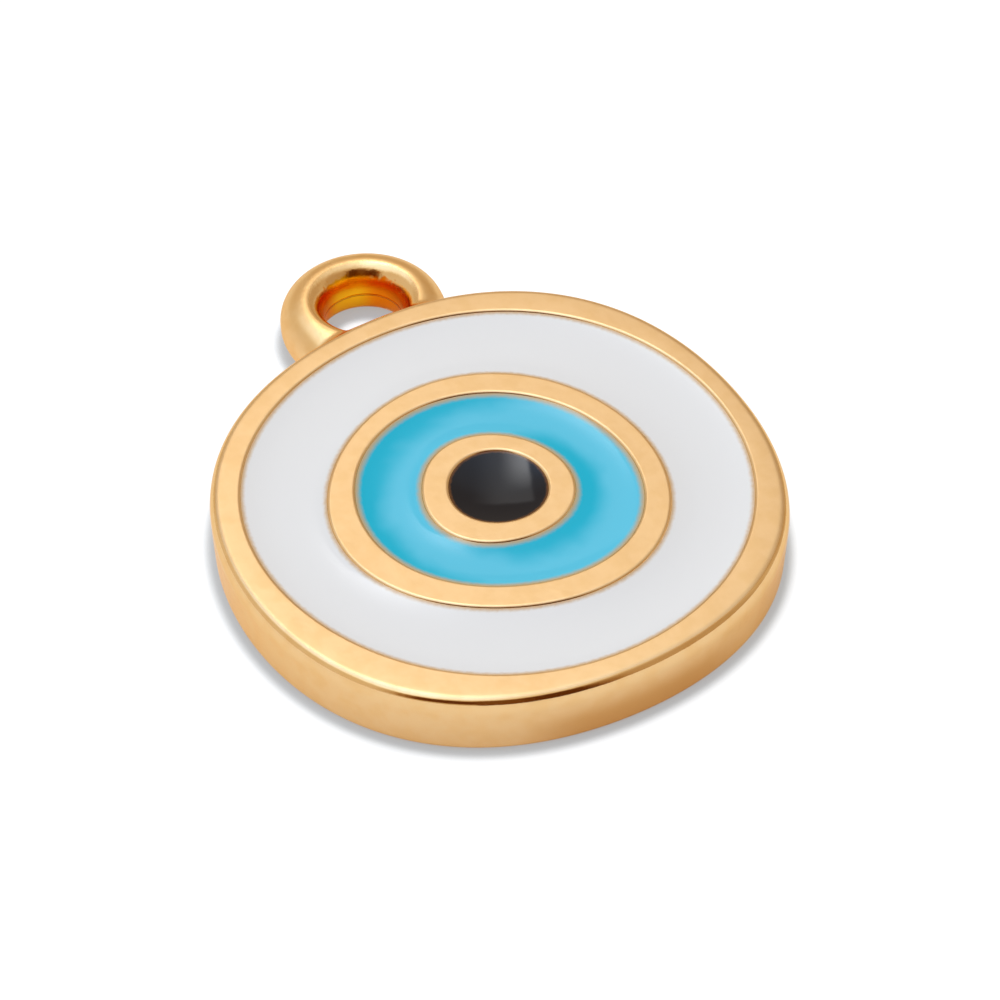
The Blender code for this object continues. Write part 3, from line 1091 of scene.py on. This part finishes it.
RED_TONE = (0.92, 0.64)  # factor and power that turn a wall's glow into its red
BLUE_TONE = (1.16, 1.55)
BACKDROP = 0.86


def within(tree, across, up, row):
    """Share of a row's glow inside its range, fading to none over each side's soft border."""
    share = row["glow"]
    sides = (across, "left", 0.0), (across, "right", 1.0), (up, "bottom", 0.0), (up, "top", 1.0)
    for value, side, start in sides:
        end = row[side] + row[f"{side}_soft"]
        share = times(tree, share, ramp(tree, value, row[side], end, start, 1.0 - start))
    return share


def room_axes(azimuth, elevation):
    """Facing, right and up direction in the scene of a softbox at that place, in degrees."""
    turn, rise = math.radians(azimuth) - CAMERA_AZIMUTH, math.radians(elevation)
    facing = Vector((math.sin(turn), math.cos(turn), 0.0)) * math.cos(rise)
    facing.z = math.sin(rise)
    right = Vector((math.cos(turn), -math.sin(turn), 0.0))
    return facing, right, right.cross(facing)


def softbox(tree, direction, values):
    row = dict(zip(SOFTBOX_COLUMNS, values))
    ahead, right, up = [vector_calc(tree, "DOT_PRODUCT", direction, axis, result="Value")
                        for axis in room_axes(row["azimuth"], row["elevation"])]
    distance = calc(tree, "MAXIMUM", ahead, 0.1 * BEHIND)
    across, up = over(tree, right, distance), over(tree, up, distance)
    ahead = calc(tree, "GREATER_THAN", ahead, BEHIND)
    return times(tree, within(tree, across, up, row), ahead)


def toned(tree, glow):
    """The colour of a wall: warm where it is dark, cool where it is bright."""
    red = times(tree, calc(tree, "POWER", glow, RED_TONE[1]), RED_TONE[0])
    blue = times(tree, calc(tree, "POWER", glow, BLUE_TONE[1]), BLUE_TONE[0])
    return wire(tree, "ShaderNodeCombineXYZ", {"X": red, "Y": glow, "Z": blue}).outputs[0]


def light_room():
    world = bpy.data.worlds.new("white_table_room")
    bpy.context.scene.world = world
    world.use_nodes = True
    tree = world.node_tree
    direction = wire(tree, "ShaderNodeTexCoord").outputs["Generated"]
    turned = wire(tree, "ShaderNodeVectorRotate", {"Vector": direction, "Angle": -CAMERA_AZIMUTH},
                  rotation_type="Z_AXIS")
    axes = wire(tree, "ShaderNodeSeparateXYZ", {0: turned.outputs[0]}).outputs
    azimuth = calc(tree, "DEGREES", calc(tree, "ARCTAN2", axes["X"], axes["Y"]))
    elevation = calc(tree, "DEGREES", calc(tree, "ARCSINE", axes["Z"]))
    glow = plus(tree, softbox(tree, direction, KEY_LIGHT), BASE_GLOW)
    for values in WALLS.values():
        row = dict(zip(WALL_COLUMNS, values))
        glow = plus(tree, glow, within(tree, azimuth, elevation, row))
    light = toned(tree, calc(tree, "MAXIMUM", glow, DARKEST))
    for values in WINDOWS.values():
        light = vector_calc(tree, "ADD", light, softbox(tree, direction, values))
    seen = wire(tree, "ShaderNodeLightPath").outputs["Is Camera Ray"]
    tree.links.new(blend_colours(tree, seen, light, (BACKDROP, BACKDROP, BACKDROP)),
                   tree.nodes["Background"].inputs["Color"])


TABLE_GLOW = 0.12  # the table is lit a little from below
SHADE_GLOW = 0.25  # added for the camera in the contact shadow, which stays an even grey
BURNT_OUT = 0.80  # added for the camera on the open table, which the exposure burns out
SHADOW_REACH = 0.6
SHADOW_SAMPLES = 16
OPEN_TABLE = (0.55, 0.88)  # how open the table is at the shadow's edge, inside and outside
TABLE_HALF = 400.0
TABLE_ROUGHNESS = 0.9
TABLE_WHITE = (0.93, 0.93, 0.93)
TABLE_IN_SHADE = (0.19, 0.22, 0.235)


def lay_floor():
    corners = [(x * TABLE_HALF, y * TABLE_HALF, 0.0) for x, y in ((-1, -1), (1, -1), (1, 1), (-1, 1))]
    floor = make_object("floor", corners, [(0, 1, 2, 3)])
    material, tree, shader = new_material("white_table")
    openness = wire(tree, "ShaderNodeAmbientOcclusion", {"Distance": SHADOW_REACH * MM},
                    samples=SHADOW_SAMPLES).outputs["AO"]
    seen = wire(tree, "ShaderNodeLightPath").outputs["Is Camera Ray"]
    burnt = times(tree, ramp(tree, openness, *OPEN_TABLE, SHADE_GLOW, BURNT_OUT), seen)
    fill(tree, shader, {"Base Color": blend_colours(tree, seen, TABLE_WHITE, TABLE_IN_SHADE),
                        "Roughness": TABLE_ROUGHNESS, "Emission Color": (1.0, 1.0, 1.0, 1.0),
                        "Emission Strength": plus(tree, burnt, TABLE_GLOW)})
    floor.data.materials.append(material)


light_room()
lay_floor()
print("room:", len(WALLS), "walls,", len(WINDOWS) + 1, "softboxes and a table")

# %% Hand over to the frame
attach(gilded_casting, "root")
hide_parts("cast_body")
for colour, node in ENAMELS.items():
    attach(enamels[colour], "root")
    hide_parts(node)
